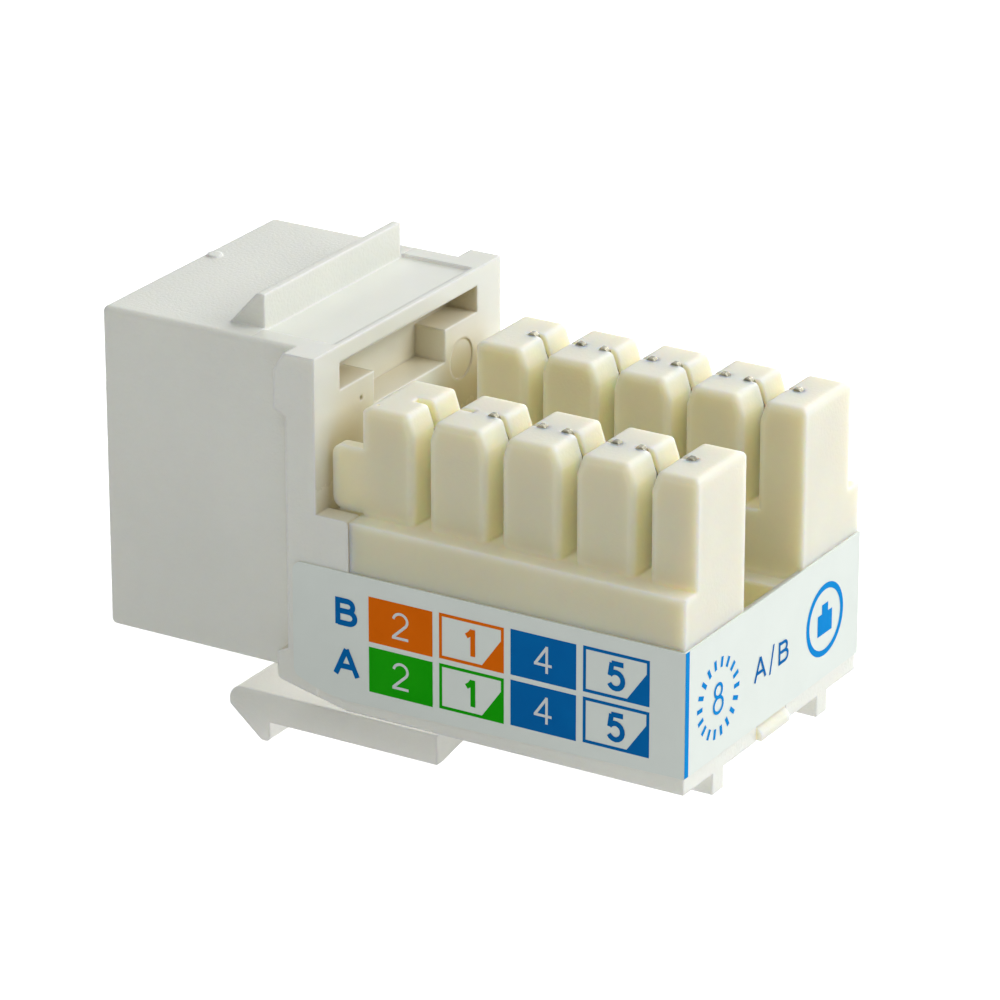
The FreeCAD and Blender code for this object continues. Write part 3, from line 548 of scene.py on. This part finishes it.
def code_row(panel, u, v, letter, codes, letter_u):
    """A row of the wiring key: its letter, then a full or an open box for every wire."""
    panel.letter("blue", letter, letter_u, v + BOX_TALL * ROW_LETTER_RISE, ROW_LETTER, ROW_LETTER_LINE)
    for i, (colour, digit, full) in enumerate(codes):
        left = u + i * BOX_STEP
        low = v + i * BOX_STEP * ROW_RISE
        middle_u = left + BOX_WIDE * 0.5
        middle_v = low + BOX_TALL * 0.5
        if full:
            panel.shape(colour, [rectangle(left, low, BOX_WIDE, BOX_TALL)])
            panel.letter("pale", digit, middle_u, middle_v, DIGIT, THIN)
        else:
            inner = left + BOX_WIDE - BOX_LINE
            corner = [(left + BOX_WIDE - CORNER_WIDE, low + BOX_LINE), (inner, low + BOX_LINE),
                      (inner, low + CORNER_TALL)]
            panel.shape(colour, box_outline(left, low, BOX_WIDE, BOX_TALL, BOX_LINE))
            panel.shape(colour, [corner])
            panel.letter(colour, digit, middle_u, middle_v, DIGIT, BOLD)


def wiring_key(panel, u, letter_u, top_codes, low_codes):
    code_row(panel, u, ROW_B, "B", top_codes, letter_u)
    code_row(panel, u, ROW_A, "A", low_codes, letter_u)


# The rear face has a plain motif: a ring of ticks round a numeral, two row letters with a slash
# between them, and a ring round a plug's outline. All sizes are across and up from its middle.
EDGE_LINE = 0.36 * MM
EDGE_LINE_RISE = 0.3 * MM
TICKS_AT = (-5.2 * MM, -0.1 * MM)
TICKS_INNER = 1.45 * MM
TICKS_OUTER = 1.95 * MM
TICK_HALF = 0.11 * MM
TICK_COUNT = 18
TICKS_DIGIT = 1.5 * MM
SIGN_RISE = -0.1 * MM
SIGN_HEIGHT = 1.15 * MM
SIGN_LINE = 0.16 * MM
SIGNS = {"A": -1.3 * MM, "B": 0.9 * MM}
SLASH = ((-0.45 * MM, -0.8 * MM), (-0.3 * MM, -0.8 * MM), (0.05 * MM, 0.6 * MM), (-0.1 * MM, 0.6 * MM))
RING_AT = 4.9 * MM
RING_ACROSS = 3.6 * MM
RING_LINE = 0.3 * MM
PLUG_WIDE = 1.4 * MM
PLUG_LOW = -0.7 * MM
PLUG_TALL = 1.05 * MM
PLUG_TAB_WIDE = 0.6 * MM
PLUG_TAB_TALL = 0.45 * MM


def rear_motif(panel, low, high):
    middle = (low.z + high.z) / 2
    line_low = low.z + EDGE_LINE_RISE
    panel.shape("line", [rectangle(-high.y, line_low, EDGE_LINE, high.z - line_low)])
    ticks_u, ticks_v = TICKS_AT[0], middle + TICKS_AT[1]
    panel.shape("line", tick_ring(ticks_u, ticks_v, TICKS_INNER, TICKS_OUTER, TICK_HALF, TICK_COUNT))
    panel.letter("line", "8", ticks_u, ticks_v, TICKS_DIGIT, SIGN_LINE)
    for sign, u in SIGNS.items():
        panel.letter("blue", sign, u, middle + SIGN_RISE, SIGN_HEIGHT, SIGN_LINE)
    panel.shape("blue", [[(u, middle + v) for u, v in SLASH]])
    panel.shape("line", ring(RING_AT, middle, RING_ACROSS, RING_LINE))
    body = rectangle(RING_AT - PLUG_WIDE / 2, middle + PLUG_LOW, PLUG_WIDE, PLUG_TALL)
    tab = rectangle(RING_AT - PLUG_TAB_WIDE / 2, middle + PLUG_LOW + PLUG_TALL, PLUG_TAB_WIDE, PLUG_TAB_TALL)
    panel.shape("line", [body, tab])


label_low, label_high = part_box("wiring_label")
near_side = Panel("near", (0.0, label_low.y, 0.0), (1.0, 0.0, 0.0))
far_side = Panel("far", (0.0, label_high.y, 0.0), (-1.0, 0.0, 0.0))
rear_side = Panel("rear", (label_high.x, 0.0, 0.0), (0.0, 1.0, 0.0))

wiring_key(near_side, NEAR_BOXES, NEAR_LETTER,
           [("orange", "2", True), ("orange", "1", False), ("blue", "4", True), ("blue", "5", False)],
           [("green", "2", True), ("green", "1", False), ("blue", "4", True), ("blue", "5", False)])
wiring_key(far_side, FAR_BOXES, FAR_LETTER,
           [("brown", "8", True), ("brown", "7", False), ("green", "6", True), ("green", "3", False)],
           [("brown", "8", True), ("brown", "7", False), ("orange", "6", True), ("orange", "3", False)])
rear_motif(rear_side, label_low, label_high)


# ---------------------------------------------------------------- floor, light and camera

FLOOR_HALF = 2.5
LIT_POINT = (16 * MM, 0.0, 0.0)

# The surroundings light the object gently. The camera and glosses see them as white.
AMBIENT = 0.12
SURROUNDINGS = 1.0
SKY_TONE = rgb(0.985, 0.995, 1.0)

CAMERA_PLACE = (140.406 * MM, -204.333 * MM, 96.55 * MM)
CAMERA_TARGET = (17.136 * MM, 0.0, -0.613 * MM)
FOCAL_LENGTH = 200.3
SENSOR_WIDTH = 36.0


def aim(thing, target):
    thing.rotation_mode = "QUATERNION"
    thing.rotation_quaternion = (Vector(target) - thing.location).to_track_quat("-Z", "Y")


def soft_box(name, place, wide, tall, power):
    """A rectangular lamp turned to the object, with its size in metres and its power in watts."""
    lamp = bpy.data.lights.new(name, "AREA")
    lamp.shape = "RECTANGLE"
    lamp.size = wide
    lamp.size_y = tall
    lamp.energy = power
    thing = bpy.data.objects.new(name, lamp)
    thing.location = place
    bpy.context.collection.objects.link(thing)
    aim(thing, LIT_POINT)


def make_floor(height, half_size):
    mesh = bpy.data.meshes.new("floor")
    corners = rectangle(-half_size, -half_size, 2 * half_size, 2 * half_size)
    mesh.from_pydata([(x, y, height) for x, y in corners], [], [(0, 1, 2, 3)])
    mesh.materials.append(studio_floor())
    floor = bpy.data.objects.new("floor", mesh)
    bpy.context.collection.objects.link(floor)


def make_surroundings():
    world = bpy.data.worlds.new("studio")
    world.use_nodes = True
    g = Graph(world.node_tree)
    strength = g.remap(g.seen_as_white(), (0.0, 1.0), (AMBIENT, SURROUNDINGS))
    background = g.add("ShaderNodeBackground", Color=SKY_TONE, Strength=strength)
    g.add("ShaderNodeOutputWorld", Surface=background.outputs["Background"])
    bpy.context.scene.world = world


def place_camera():
    lens = bpy.data.cameras.new("view")
    lens.sensor_width = SENSOR_WIDTH
    lens.lens = FOCAL_LENGTH
    lens.clip_start = 0.01
    lens.clip_end = 10.0
    camera = bpy.data.objects.new("view", lens)
    camera.location = CAMERA_PLACE
    bpy.context.collection.objects.link(camera)
    aim(camera, CAMERA_TARGET)
    bpy.context.scene.camera = camera


make_floor(cad_low.z, FLOOR_HALF)
soft_box("key_box", (0.32, 0.14, 0.26), 0.30, 0.30, 1.33)
soft_box("near_box", (0.05, -0.30, 0.32), 0.30, 0.30, 0.57)
soft_box("far_box", (0.00, 0.42, 0.15), 0.30, 0.20, 0.92)
make_surroundings()
place_camera()
bpy.context.scene.view_settings.view_transform = "Standard"
